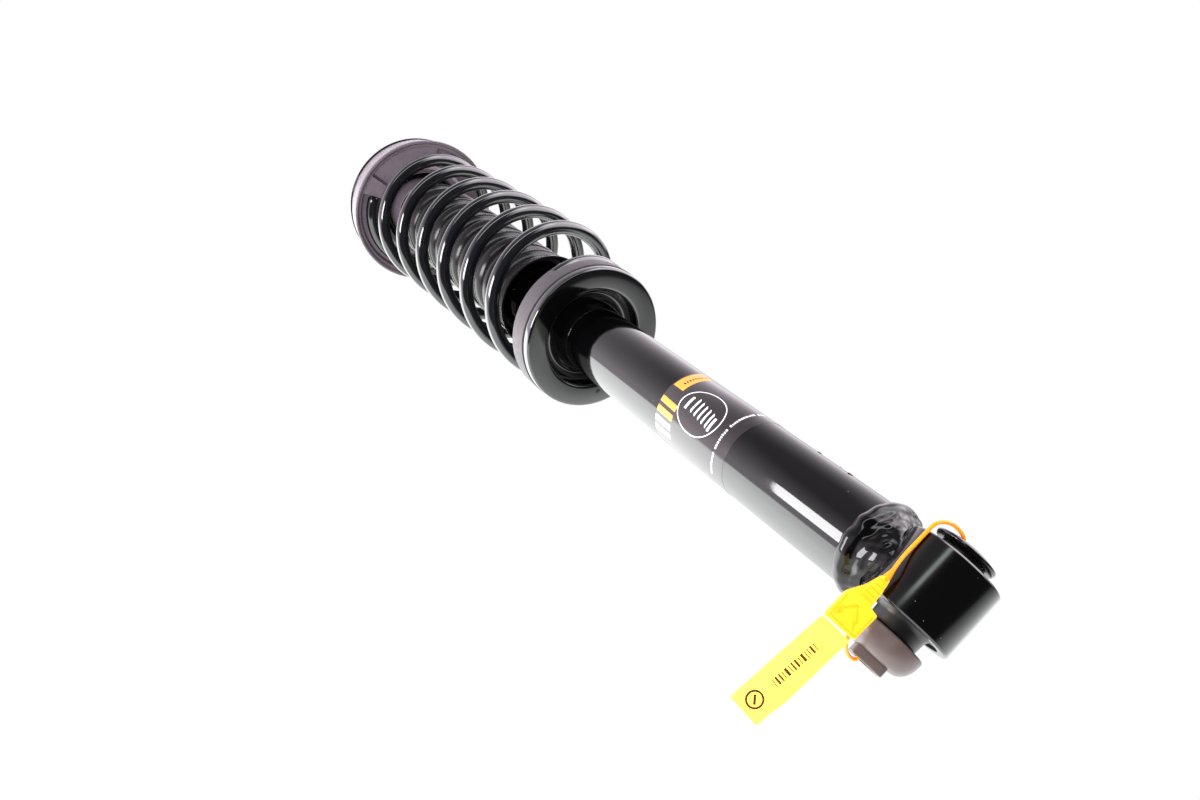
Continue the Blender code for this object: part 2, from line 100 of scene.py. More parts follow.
def softened(outline, radius, steps=4):
    """A closed outline with each corner P replaced by the curve (1-t)^2 A + 2t(1-t) P + t^2 B,
    where A and B lie on its two edges at the radius from P, or at 0.45 of a shorter edge."""
    corner = np.asarray(outline, float)
    before, after = np.roll(corner, 1, 0) - corner, np.roll(corner, -1, 0) - corner
    cuts = []
    for edge in (before, after):
        length = np.linalg.norm(edge, axis=1, keepdims=True)
        cuts.append(corner + edge * np.minimum(radius / length, 0.45))
    t = np.linspace(0, 1, steps)[None, :, None]
    a, b, p = cuts[0][:, None], cuts[1][:, None], corner[:, None]
    return ((1 - t) ** 2 * a + 2 * t * (1 - t) * p + t ** 2 * b).reshape(-1, 2)


def on_axis(radius, height, angle, axis):
    """Points at a radius and angle round X or Z; arrays of any matching shape."""
    around = radius * np.cos(angle), radius * np.sin(angle)
    parts = (height, *around) if axis == "X" else (*around, height)
    return np.stack(np.broadcast_arrays(*parts), -1)


def make_turned(name, profile, finish, body, stands_for=(), axis="Z", sides=144, soft=0.4,
                shape=None):
    """A closed (radius, height) profile with softened corners, carried round an axis. shape takes
    radius, height and angle as arrays and gives the radius and height it changes them to."""
    profile = softened(profile, soft)
    angle = np.linspace(0, TAU, sides, endpoint=False)[None, :]
    radius, height = np.broadcast_arrays(profile[:, :1], angle)[0], profile[:, 1:] + 0 * angle
    if shape:
        radius, height = shape(radius, height, angle + 0 * radius)
    points = on_axis(radius, height, angle, axis)
    faces = grid_faces(len(profile), sides, close_rows=True)
    return make_piece(name, points, faces, finish, body, stands_for)


def make_rod_like(name, path, radii, sides, across, finish, body, stands_for=()):
    """A round section carried along an open path: centre + radius (cos a N + sin a B), where N is
    the given across direction made square to the path and B = T x N. The ends are flat."""
    path = np.asarray(path, float)
    along = np.gradient(path, axis=0)
    along /= np.linalg.norm(along, axis=1, keepdims=True)
    normal = across - along * np.einsum("ij,ij->i", across, along)[:, None]
    normal /= np.linalg.norm(normal, axis=1, keepdims=True)
    other = np.cross(along, normal)
    angle = np.linspace(0, TAU, sides, endpoint=False)[None, :, None]
    ring = np.cos(angle) * normal[:, None] + np.sin(angle) * other[:, None]
    points = path[:, None] + np.asarray(radii)[:, None, None] * ring
    count = len(path) * sides
    caps = [np.arange(sides)[::-1], np.arange(count - sides, count)]
    faces = grid_faces(len(path), sides)
    return make_piece(name, points, faces, finish, body, stands_for, caps)


def through(knots, count):
    """A smooth curve through points: on each stretch the Catmull-Rom cubic of the four round it."""
    knots = np.asarray(knots, float)
    padded = np.vstack([2 * knots[0] - knots[1], knots, 2 * knots[-1] - knots[-2]])
    lengths = np.r_[0, np.cumsum(np.linalg.norm(np.diff(knots, axis=0), axis=1))]
    place = np.interp(np.linspace(0, lengths[-1], count), lengths, np.arange(len(knots)))
    i = np.minimum(place.astype(int), len(knots) - 2)
    t = (place - i)[:, None]
    a, b, c, d = (padded[i + k] for k in range(4))
    return 0.5 * (2 * b + (c - a) * t + (2 * a - 5 * b + 4 * c - d) * t ** 2
                  + (3 * b - a - 3 * c + d) * t ** 3)


def smooth(x):
    """The step 3x^2 - 2x^3 between 0 and 1."""
    x = np.clip(x, 0, 1)
    return x * x * (3 - 2 * x)


def window(x, start, end, ramp):
    """1 between start and end, falling smoothly to 0 over the ramp outside them."""
    return smooth((x - start) / ramp + 1) * smooth((end - x) / ramp + 1)


def degrees_from(angle, centre):
    """The signed angle from a centre, in degrees, between -180 and 180."""
    return (np.degrees(angle) - centre + 180) % 360 - 180


def lumps(x, y, z, size, seed):
    """A rolling field, mostly between -1 and 1: a quarter of the sum of ten sine waves, each of the
    size as its wavelength and in a seeded direction and phase."""
    waves = 10
    draw = np.random.default_rng(seed)
    total = 0
    for _ in range(waves):
        direction = draw.normal(size=3)
        direction /= np.linalg.norm(direction)
        phase = draw.uniform(0, TAU)
        total = total + np.sin(TAU / size * (x * direction[0] + y * direction[1] + z * direction[2])
                               + phase)
    return total / 4


def make_slab(name, outlines, low_n, high_n, place, finish, body, stands_for=(), edge=0.3):
    """Flat outlines with a thickness and rounded edges. Each level is the outline moved inwards
    along its own normal by edge (1 - sin a) while its height rises by edge (1 - cos a)."""
    bevel = np.linspace(0, np.pi / 2, 4)
    inset = np.r_[edge * (1 - np.sin(bevel)), edge * (1 - np.cos(bevel))]
    level = np.r_[low_n + edge * (1 - np.cos(bevel)), high_n - edge + edge * np.sin(bevel)]
    points, faces, caps, start = [], [], [], 0
    for outline in outlines:
        outline = np.asarray(outline, float)
        area = np.sum(outline[:, 0] * np.roll(outline[:, 1], -1)
                      - outline[:, 1] * np.roll(outline[:, 0], -1))
        if area < 0:
            outline = outline[::-1]
        tangent = np.roll(outline, -1, 0) - np.roll(outline, 1, 0)
        tangent /= np.linalg.norm(tangent, axis=1, keepdims=True)
        inward = np.stack([-tangent[:, 1], tangent[:, 0]], 1)
        flat = outline[None] + inset[:, None, None] * inward[None]
        heights = level[:, None] + 0 * flat[..., 0]
        points.append(place(flat[..., 0], flat[..., 1], heights).reshape(-1, 3))
        count = len(outline)
        faces.append(grid_faces(len(level), count) + start)
        last = start + (len(level) - 1) * count
        caps += [start + np.arange(count)[::-1], last + np.arange(count)]
        start += len(level) * count
    points, faces = np.vstack(points), np.vstack(faces)
    return make_piece(name, points, faces, finish, body, stands_for, caps)


def box_outline(u, w, length, width, turn=0.0):
    """The corners of a rectangle about a centre, turned by some degrees."""
    c, s = np.cos(np.radians(turn)), np.sin(np.radians(turn))
    corner = np.array([(-1, -1), (1, -1), (1, 1), (-1, 1)]) * (length / 2, width / 2)
    return corner @ np.array([(c, s), (-s, c)]) + (u, w)


# ---------------------------------------------------------------- finishes

MIX_A, MIX_B, MIX_OUT = 6, 7, 2             # a Mix node's colour sockets, which share their names


def linear(hex_colour):
    """An sRGB hex colour as linear RGBA."""
    c = np.array([int(hex_colour[i:i + 2], 16) / 255 for i in (0, 2, 4)])
    c = np.where(c <= 0.04045, c / 12.92, ((c + 0.055) / 1.055) ** 2.4)
    return (*c.tolist(), 1.0)


def add(tree, kind, inputs=None, **settings):
    """Adds a node. inputs maps a socket's name or number to a value or to another node's output."""
    node = tree.nodes.new(kind)
    for key, value in settings.items():
        setattr(node, key, value)
    for socket, value in (inputs or {}).items():
        if isinstance(value, bpy.types.NodeSocket):
            tree.links.new(value, node.inputs[socket])
        else:
            node.inputs[socket].default_value = value
    return node


def surface(name, rough_low, rough_high, colour_low, colour_high, patch, grain, height, **sockets):
    """A finish whose colour and roughness drift over patches, with a fine relief of grains.

    patch and grain are sizes in millimetres, and height is the relief's depth in millimetres.
    """
    made = bpy.data.materials.new(name)
    made.use_nodes = True
    tree = made.node_tree
    shader = tree.nodes["Principled BSDF"]
    for socket, value in sockets.items():
        shader.inputs[socket.replace("_", " ")].default_value = value
    place = add(tree, "ShaderNodeTexCoord").outputs["Object"]
    drift = add(tree, "ShaderNodeTexNoise",
                {"Vector": place, "Scale": 1 / (patch * MM), "Detail": 4.0})
    colour = add(tree, "ShaderNodeMix",
                 {"Factor": drift.outputs["Fac"], MIX_A: linear(colour_low),
                  MIX_B: linear(colour_high)}, data_type="RGBA")
    tree.links.new(colour.outputs[MIX_OUT], shader.inputs["Base Color"])
    rough = add(tree, "ShaderNodeMapRange",
                {"Value": drift.outputs["Fac"], "From Min": 0.3, "From Max": 0.7,
                 "To Min": rough_low, "To Max": rough_high})
    tree.links.new(rough.outputs[0], shader.inputs["Roughness"])
    fine = add(tree, "ShaderNodeTexNoise",
               {"Vector": place, "Scale": 1 / (grain * MM), "Detail": 2.0})
    relief = add(tree, "ShaderNodeBump",
                 {"Height": fine.outputs["Fac"], "Distance": height * MM, "Strength": 1.0})
    tree.links.new(relief.outputs["Normal"], shader.inputs["Normal"])
    return made


def with_specks(made, spacing, size, colour):
    """Adds sparse round specks of dust, by the distance to the nearest of scattered points. The
    colour is full within half of size from a point and gone past size, both in millimetres."""
    tree = made.node_tree
    shader = tree.nodes["Principled BSDF"]
    place = add(tree, "ShaderNodeTexCoord").outputs["Object"]
    cells = add(tree, "ShaderNodeTexVoronoi", {"Vector": place, "Scale": 1 / (spacing * MM)})
    share = size / spacing
    speck = add(tree, "ShaderNodeMapRange",
                {"Value": cells.outputs["Distance"], "From Min": share, "From Max": 0.5 * share,
                 "To Min": 0.0, "To Max": 1.0})
    under = shader.inputs["Base Color"].links[0].from_socket
    mixed = add(tree, "ShaderNodeMix",
                {"Factor": speck.outputs[0], MIX_A: under, MIX_B: linear(colour)}, data_type="RGBA")
    tree.links.new(mixed.outputs[MIX_OUT], shader.inputs["Base Color"])
    return made


# Stoved black paint over steel: a hard gloss with slight orange peel and a few specks of dust.
gloss_paint = with_specks(surface("stoved_black_paint", 0.05, 0.09, "020202", "040405", 40, 3.5,
                                  0.005, IOR=1.5), 9, 0.16, "B8B4B0")
# The same paint on the wire of the spring, laid on a shot-peened surface, so a little more wavy.
spring_paint = surface("spring_black_paint", 0.06, 0.11, "0B0C0F", "101116", 30, 5.0, 0.02, IOR=1.5,
                       Specular_IOR_Level=0.85)
# Electrophoretic coat on the eye and the bush: even and satin, with a fine tooth from the casting.
satin_coat = with_specks(surface("satin_black_ecoat", 0.13, 0.19, "010101", "030303", 25, 0.8, 0.005,
                                 IOR=1.5), 7, 0.2, "A09C98")
# Phosphated steel of the bush's core: a matt grey with a warm cast.
phosphate = surface("phosphated_steel", 0.34, 0.44, "443937", "534744", 9, 0.7, 0.012, IOR=1.5)
# The seat's paint lies thicker than the tube's and shines more.
seat_paint = surface("thick_black_paint", 0.06, 0.1, "030304", "060607", 30, 4.0, 0.006, IOR=1.5,
                     Specular_IOR_Level=1.0)
# Paint burnt and pooled over the weld: wet gloss on a lumpy surface.
weld_paint = surface("pooled_black_paint", 0.05, 0.1, "020202", "030303", 8, 2.4, 0.02, IOR=1.5,
                     Specular_IOR_Level=0.3)
# Moulded natural rubber with a bloom of wax that greys it and gives a violet sheen.
mount_rubber = surface("waxed_black_rubber", 0.3, 0.42, "564D55", "6A6068", 12, 0.7, 0.02, IOR=1.52)
bush_skin = surface("bush_black_rubber", 0.36, 0.48, "080708", "0E0D0E", 10, 0.6, 0.02, IOR=1.52)
seat_rubber = surface("pale_bloomed_rubber", 0.5, 0.64, "2C292D", "464045", 5, 0.6, 0.03, IOR=1.52)
# Blow-moulded thermoplastic rubber: thinner, smoother and shinier than the cast rings.
boot_skin = surface("moulded_boot_rubber", 0.17, 0.25, "100F11", "171518", 14, 1.1, 0.012, IOR=1.5,
                    Specular_IOR_Level=0.3)
# Open microcellular foam of the bump stop: pale, dull and finely pitted.
foam = surface("microcellular_foam", 0.75, 0.9, "C9B26A", "DAC680", 6, 0.5, 0.12, IOR=1.45)
# Clear film over black ink: as glossy as the paint, and a shade greyer.
label_film = surface("clear_label_film", 0.1, 0.15, "242023", "2A2629", 30, 2.5, 0.003, IOR=1.49)
white_ink = surface("white_label_ink", 0.35, 0.45, "DCDBD9", "E8E7E6", 5, 0.5, 0.002, IOR=1.5)
orange_ink = surface("orange_label_ink", 0.35, 0.45, "F08A2A", "F89A3C", 5, 0.5, 0.002, IOR=1.5)
# Injection-moulded polypropylene: a pale, saturated yellow with a soft sheen.
seal_plastic = surface("yellow_polypropylene", 0.28, 0.38, "FFEA4C", "FFEE5E", 12, 0.9, 0.01,
                       IOR=1.49)
# Painted shade: copies of the same plastic in deeper colours, for the thick clasp, its ridges and the
# strap, as if turned from the light.
clasp_painted_shade = surface("yellow_polypropylene_painted_shade_deep", 0.28, 0.38, "FFA616", "FFC02C", 8, 0.9, 0.01,
                        IOR=1.49)
rib_painted_shade = surface("yellow_polypropylene_painted_shade_olive", 0.3, 0.4, "C89A00", "D8A808", 8, 0.9, 0.01,
                      IOR=1.49)
strap_painted_shade = surface("yellow_polypropylene_painted_shade_orange", 0.3, 0.4, "FF8008", "FF9214", 10, 0.9, 0.01,
                        IOR=1.49)
seal_ink = surface("brown_marking_ink", 0.5, 0.6, "4A1C14", "5A241A", 4, 0.5, 0.002, IOR=1.5)
# Bare steel, turned or stamped, with a film of oil.
machined_steel = surface("machined_steel", 0.25, 0.38, "8F9093", "A5A6A8", 10, 0.3, 0.004,
                         Metallic=1.0)
zinc_steel = surface("zinc_plated_steel", 0.22, 0.36, "A9A79C", "BDBBB2", 6, 0.5, 0.006,
                     Metallic=1.0)
hard_chrome = surface("hard_chrome", 0.04, 0.08, "D4D6DA", "DCDEE2", 30, 0.8, 0.001, Metallic=1.0)
bronze = surface("sintered_bronze", 0.35, 0.5, "85622F", "96723E", 5, 0.4, 0.02, Metallic=1.0)


# ---------------------------------------------------------------- damper

def make_damper():
    """The tube, turned with its curled top, and four drops of weld spatter half sunk in its paint.
    At the angle t from a drop's top it reaches size sin t along the tube and 0.42 size cos t
    outwards."""
    wall_in, top, foot = 22.8, 437, 41
    make_turned("tube_skin", [
        (TUBE_RADIUS, top), (TUBE_RADIUS, foot), (wall_in, foot), (wall_in, top), (18, top),
        (18, 440), (23, 440)], gloss_paint, "lower", ["outer_tube"], soft=0.8)

    drops = np.array([(-17, 104.0, 1.5), (-21, 77.0, 1.9), (-12, 88.0, 0.8), (-60, 60.0, 0.7)])
    angle, place_z, size = (drops[:, k, None, None] for k in range(3))
    rings, around, flatness, sunk_radius = 9, 20, 0.42, 24.9
    t = np.linspace(0, np.pi, rings)[None, :, None]
    s = np.linspace(0, TAU, around, endpoint=False)[None, None, :]
    reach = size * np.sin(t)
    out = sunk_radius + flatness * size * np.cos(t)
    turn = np.radians(angle) + reach * np.cos(s) / TUBE_RADIUS
    points = on_axis(out + 0 * s, place_z + reach * np.sin(s), turn, "Z")
    faces = np.vstack([grid_faces(rings, around) + rings * around * k for k in range(len(drops))])
    make_piece("weld_spatter", points, faces, weld_paint, "lower")


def make_weld():
    """The weld between tube and eye: a run of overlapping beads. Its section goes from the tube's
    edge out over a crown and down to the eye, whose foot follows z = sqrt(R^2 - y^2), and its
    surface is raised by rounded ripples round the axis and by rolling lumps."""
    sides, steps = 300, 64
    angle = np.linspace(0, TAU, sides, endpoint=False)[None, :]
    over_eye, sunk = EYE_RADIUS + 0.3, 0.6
    foot_r = 19.0 + 3.2 * np.sin(angle) ** 2
    foot_z = np.sqrt(over_eye ** 2 - (foot_r * np.sin(angle)) ** 2) - sunk
    section = np.array([(22.0, 41.6), (25.2, 42.2), (27.2, 40.2), (28.0, 37.0), (27.0, 33.4),
                        (25.0, 30.4)])
    radius_knots = np.vstack([section[:, :1] + 0 * angle, (foot_r + 24.2) / 2 + 0.3, foot_r])
    height_knots = np.vstack([section[:, 1:] + 0 * angle, foot_z * 0.62 + 28.4 * 0.38, foot_z])
    knots = np.stack([radius_knots, height_knots], -1)
    curve = through(knots.reshape(len(knots), -1), steps).reshape(steps, sides, 2)
    radius, height = curve[..., 0], curve[..., 1]
    share = np.linspace(0, 1, steps)[:, None]
    beads = np.sin(angle * 9 + 3.0 * share + 0.9 * np.sin(3 * angle))
    x, y = radius * np.cos(angle), radius * np.sin(angle)
    rolls, wrinkles = lumps(x, y, height, 10.0, 4), lumps(x, y, height, 5.0, 9)
    rise = 0.12 * beads + 0.4 * rolls + 0.3 * smooth((share - 0.3) / 0.4) * wrinkles
    rise = rise * smooth(share / 0.1) * smooth((1 - share) / 0.1) - 0.1
    slope_r, slope_z = np.gradient(radius, axis=0), np.gradient(height, axis=0)
    length = np.hypot(slope_r, slope_z)
    radius, height = radius - rise * slope_z / length, height + rise * slope_r / length
    inner_r = np.full((2, 1), 17.0) + 0 * angle
    inner_z = np.vstack([foot_z + 0.5, 41.0 + 0 * foot_z])
    radius, height = np.vstack([radius, inner_r]), np.vstack([height, inner_z])
    points = on_axis(radius, height, angle, "Z")
    make_piece("weld_beads", points, grid_faces(steps + 2, sides, close_rows=True), weld_paint,
               "lower", ["weld_bead"], sharp=80)


def make_eye():
    """The eye, its rubber and the bush's core and collar, all turned about X. The core's dome goes
    by radius 10.6 + 9 cos(t)^0.9 against 11.9 sin t along X, and its end is square."""
    bevel_x, bore = EYE_HALF - 1, 20.6
    make_turned("eye_ring", [
        (EYE_RADIUS, bevel_x), (EYE_RADIUS, -bevel_x), (EYE_RADIUS - 1, -EYE_HALF),
        (bore, -EYE_HALF), (bore, EYE_HALF), (EYE_RADIUS - 1, EYE_HALF)],
        satin_coat, "lower", ["lower_eye"], "X", 192, 0.25)
    make_turned("bush_filling", [
        (20.4, 18.2), (20.4, -18.2), (17.6, -17.2), (15.6, -18.6), (14.2, -21), (13.9, -27.9),
        (9.8, -28), (9.8, 23.7), (12.8, 23.7), (13, 21), (15.2, 18.8), (17.4, 17.4)],
        bush_skin, "lower", ["bush_rubber"], "X", 120, 1.0)

    corner, half, boss_turn, boss_x = 12.3, 9.0, np.radians(-38), -42.2

    def squared(radius, height, angle):
        """Round, but past the dome the radius is the square's, half / cos of the angle from the
        middle of its side, with its corners cut off; the end's bevel is carried over to it."""
        sector = (angle + boss_turn + np.pi / 4) % (np.pi / 2) - np.pi / 4
        square = np.minimum(half / np.cos(sector), corner - 0.2)
        bevel = corner - np.maximum(radius, 11.5)
        boss = (radius > 6.6) & (height < boss_x)
        return np.where(boss, np.minimum(radius, square - bevel), radius), height

    t = np.linspace(0, np.pi / 2, 14)
    dome = np.stack([10.6 + 9.0 * np.cos(t) ** 0.9, -30.4 - 11.9 * np.sin(t)], 1).tolist()
    make_turned("bush_core", [
        (9.5, 27.6), (9.5, -28.3), (18.9, -28.3), (19.6, -29.2), *dome[:-1], (12.3, -42.3),
        (12.3, -46.8), (11.8, -47.3), (6.5, -47.3), (6.5, 27.6)],
        phosphate, "bush", ["bush_sleeve"], "X", 192, 0.25, squared)
    make_turned("bush_collar", [
        (17.3, 25.6), (16.4, 24), (9.8, 24), (9.8, 28), (12.5, 28), (17, 26.6)],
        satin_coat, "bush", ["bush_washer"], "X", 120, 0.5)


# ---------------------------------------------------------------- spring and its seats

def spring_path(count):
    """The wire's centre line. The middle climbs a pitch a turn; at each end the last turn flattens
    onto its seat and draws in to the seat's radius by a smooth step, and the middle leans to +X."""
    turns = np.linspace(COIL_FROM, COIL_TO, count)
    from_low, from_high = turns - COIL_FROM, COIL_TO - turns
    height = 662.4 + WIRE_PITCH * turns
    height = COIL_LOW_Z + (height - COIL_LOW_Z) * smooth((from_low - 0.6) / 0.5)
    height = COIL_HIGH_Z + (height - COIL_HIGH_Z) * smooth((from_high - 0.05) / 0.6)
    middle, drawn_low, drawn_high, lean = 56.6, 9.6, 3.6, 6.6
    radius = (middle - drawn_low * (1 - smooth((from_low - 0.75) / 1.15))
              - drawn_high * (1 - smooth(from_high / 0.9)))
    share = np.clip((height - COIL_LOW_Z) / (COIL_HIGH_Z - COIL_LOW_Z), 0, 1)
    bow = lean * smooth(share / 0.15) * (1 - share) ** 0.6
    angle = TAU * turns - np.pi / 2
    path = np.stack([bow + radius * np.cos(angle), radius * np.sin(angle), height], 1)
    return path, np.stack([np.cos(angle), np.sin(angle), 0 * angle], 1)


def make_spring():
    """The wire's radius is constant but for the last 1.6 at each cut end, where it shrinks by
    1.2 times the square of the share of that stretch."""
    path, across = spring_path(1100)
    along = np.r_[0, np.cumsum(np.linalg.norm(np.diff(path, axis=0), axis=1))]
    from_end = np.minimum(along, along[-1] - along)
    radii = WIRE_RADIUS - 1.2 * (1 - np.clip(from_end / 1.6, 0, 1)) ** 2
    coil = make_rod_like("spring_wire", path, radii, 28, across, spring_paint, "lower",
                         ["coil_spring"])
    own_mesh(coil)


def make_seats():
    """The pressed steel seat, its rubber and the upper ring, each a profile turned about Z."""
    make_turned("seat_pressing", [
        (54, 350), (54, 342), (37.8, 342), (36.6, 345.5), (34.6, 352), (31.6, 354.4), (28.6, 351.5),
        (26.9, 345), (25.4, 339), (24.6, 337), (24.6, 357), (33.4, 357), (36.4, 354), (39.6, 345.2),
        (51.6, 344.6), (51.6, 350)],
        seat_paint, "lower", ["spring_seat"], sides=192, soft=2.2)

    def flat_place(x, y, z):
        return np.stack([x, y, z], -1)

    # The drain hole is not cut: a thin black disc laid on the seat in its place is painted shade for
    # the open hole.
    turn = np.linspace(0, TAU, 24, endpoint=False)
    hole_at, hole_turn = 44, np.radians(124)
    hole = np.stack([hole_at * np.cos(hole_turn) + 2.2 * np.cos(turn),
                     hole_at * np.sin(hole_turn) + 1.7 * np.sin(turn)], 1)
    make_slab("drain_hole_painted_shade", [hole], 341.85, 342.6, flat_place, bush_skin, "lower",
              edge=0.1)

    def stepped(radius, height, angle):
        """The wall's top drops 6 mm from 74 degrees clockwise of +X round to 70 the other way."""
        away = degrees_from(angle, -2)
        cut = window(away, -72, 72, 2.5)
        top = smooth((height - 356) / 5)
        return radius, height - 6.0 * cut * top * (radius > 50)

    make_turned("lower_seat_rubber", [
        (54.4, 367), (54.4, 350.6), (51, 350.4), (48.5, 345.4), (41.5, 345.4), (38.4, 354),
        (38.4, 364), (40.6, 364), (41.1, 357.9), (52.4, 357.9), (53, 358.4), (53, 367)],
        seat_rubber, "lower", ["lower_isolator"], sides=240, soft=0.5, shape=stepped)

    def upper_detail(radius, height, angle):
        """A stop block fills the wire's channel at -110 degrees, and a shallow pad at -66 runs to
        -33. Each sinks the channel's floor towards its own height by a smooth window of angle."""
        block = window(degrees_from(angle, -110), -8, 8, 0.8)
        pad = window(degrees_from(angle, -66), -33, 33, 0.8)
        inside = smooth((radius - 44) / 1.5) * smooth((63.6 - radius) / 1.2)
        floor = np.where(height > 702.6, 1.0, smooth((height - 700) / 2)) * (height < 715)
        sunk = inside * floor
        to_block, to_pad = height - 698.6, np.maximum(height - 702.6, 0)
        return radius, height - sunk * (block * to_block + pad * (1 - block) * to_pad)

    make_turned("upper_seat_rubber", [
        (69.7, 699.4), (69.2, 698), (67.6, 698), (66.6, 699.2), (65.2, 700.8), (63.4, 701.4),
        (62.6, 702.6), (61.4, 705.9), (56, 705.9), (50, 705.9), (46.4, 705.9), (45.6, 699),
        (42, 697), (38, 699), (38, 725.7), (65, 725.7), (67.4, 712)],
        mount_rubber, "upper", ["upper_isolator"], sides=360, soft=0.45,
        shape=upper_detail)


# ---------------------------------------------------------------- boot and bump stop

def make_boot():
    """Bellows of 13 folds. Over each, the radius is root + depth |sin(pi t)|^0.7, which leaves the
    crests round and the roots sharp; the lower lip flares out and the collar is plain."""
    ribs_low, ribs_high, folds = 437.0, 668.0, 13
    t = np.linspace(0, folds, folds * 18 + 1)
    root, depth, wall = 31.3, 5.5, 1.3
    wave = root + depth * np.abs(np.sin(np.pi * t)) ** 0.7
    height = ribs_low + (ribs_high - ribs_low) * t / folds
    lip = through([(39.0, 421), (38.9, 422.2), (37.4, 427), (36.2, 432), (34.4, 436)], 12)
    collar = np.array([(29.0, 669.5), (28.1, 672), (28, 678), (28, 690)])
    outer = np.vstack([lip, np.stack([wave, height], 1), collar])
    inner = (outer - (wall, 0))[::-1]
    profile = np.vstack([outer, inner])
    sides = 144
    angle = np.linspace(0, TAU, sides, endpoint=False)[None, :]
    points = on_axis(profile[:, :1], profile[:, 1:], angle, "Z")
    boot = make_piece("boot_bellows", points, grid_faces(len(profile), sides, close_rows=True),
                      boot_skin, "upper", ["dust_boot"])
    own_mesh(boot)
    stop = make_turned("bump_foam", [
        (8, 688), (23, 688), (23, 648), (16, 642), (21.5, 636), (21.5, 621), (15, 615), (20, 610),
        (20, 597), (16, 590), (8, 590)],
        foam, "upper", ["bump_stop"], sides=96, soft=3.5)
    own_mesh(stop)


# ---------------------------------------------------------------- upper mount

def make_mount():
    """The pressed plate and its rubber core, turned about Z, with a chamfered hexagon nut and three
    studs. A stud's thread is a ridge of triangle section whose height grows by a pitch a turn."""
    make_turned("tower_plate", [
        (66, 729), (66, 726), (34.4, 726), (34, 708), (31, 708), (31, 742), (15, 742), (15, 745),
        (32.4, 745), (34, 743.4), (34.6, 729)], gloss_paint, "upper",
        ["mount_plate"], sides=160, soft=1.1)
    make_turned("mount_core", [
        (30.7, 741.7), (30.7, 708), (26, 697), (21, 691.4), (13.3, 691.4), (13.3, 741.7)],
        mount_rubber, "upper", ["mount_rubber"], sides=96, soft=1.5)

    def hexagon(radius, height, angle):
        """The radius of a hexagon's edge, cut back by the cone of the nut's chamfers."""
        sector = (angle + np.pi / 6) % (np.pi / 3) - np.pi / 6
        flat = 9.0 / np.cos(sector)
        cone = 9.4 + 1.6 * np.minimum(height - nut_foot, nut_top - height)
        return np.where(radius > 7, np.minimum(flat, cone), radius), height

    nut_foot, nut_top, nut_bore = 748.2, 757, 6.3
    side = [(10.4, z) for z in np.linspace(nut_foot, nut_top, 17)]
    make_turned("tower_nut", [(nut_bore, nut_top), (nut_bore, nut_foot), *side], zinc_steel,
                "upper", ["rod_nut"], sides=144, soft=0.1, shape=hexagon)

    pitch, major, top, foot, sides = 1.25, 4.0, 753.0, 731.4, 32
    z = np.linspace(foot, top, 180)[:, None]
    angle = np.linspace(0, TAU, sides, endpoint=False)[None, :]
    ridge = 1 - 2 * np.abs((z / pitch - angle / TAU) % 1 - 0.5)
    fade = smooth((z - foot) / 2) * smooth((top - z) / 0.8)
    radius = major - 0.62 * fade * ridge - 0.8 * smooth((z - top + 0.9) / 0.9)
    head = np.array([(0.5, 729.3), (6, 729.3), (6, 730.7), (4.2, 731.2)])
    radius = np.vstack([head[:, :1] + 0 * angle, radius])
    height = np.vstack([head[:, 1:] + 0 * angle, z + 0 * angle])
    rings = len(height)
    caps = [np.arange(sides)[::-1], np.arange((rings - 1) * sides, rings * sides)]
    for number, turn in enumerate(np.radians([90, 210, 330]), 1):
        centre = STUD_CIRCLE * np.cos(turn), STUD_CIRCLE * np.sin(turn), 0
        points = on_axis(radius, height, angle, "Z") + centre
        make_piece(f"stud_{number}", points, grid_faces(rings, sides), zinc_steel, "upper",
                   [f"mount_stud_{number}"], caps)


# ---------------------------------------------------------------- label

def label_place(s, t, n):
    """Round the tube: s is an angle in degrees about Z, t a height and n a distance off the film."""
    return on_axis(LABEL_RADIUS + n, t, np.radians(s), "Z")


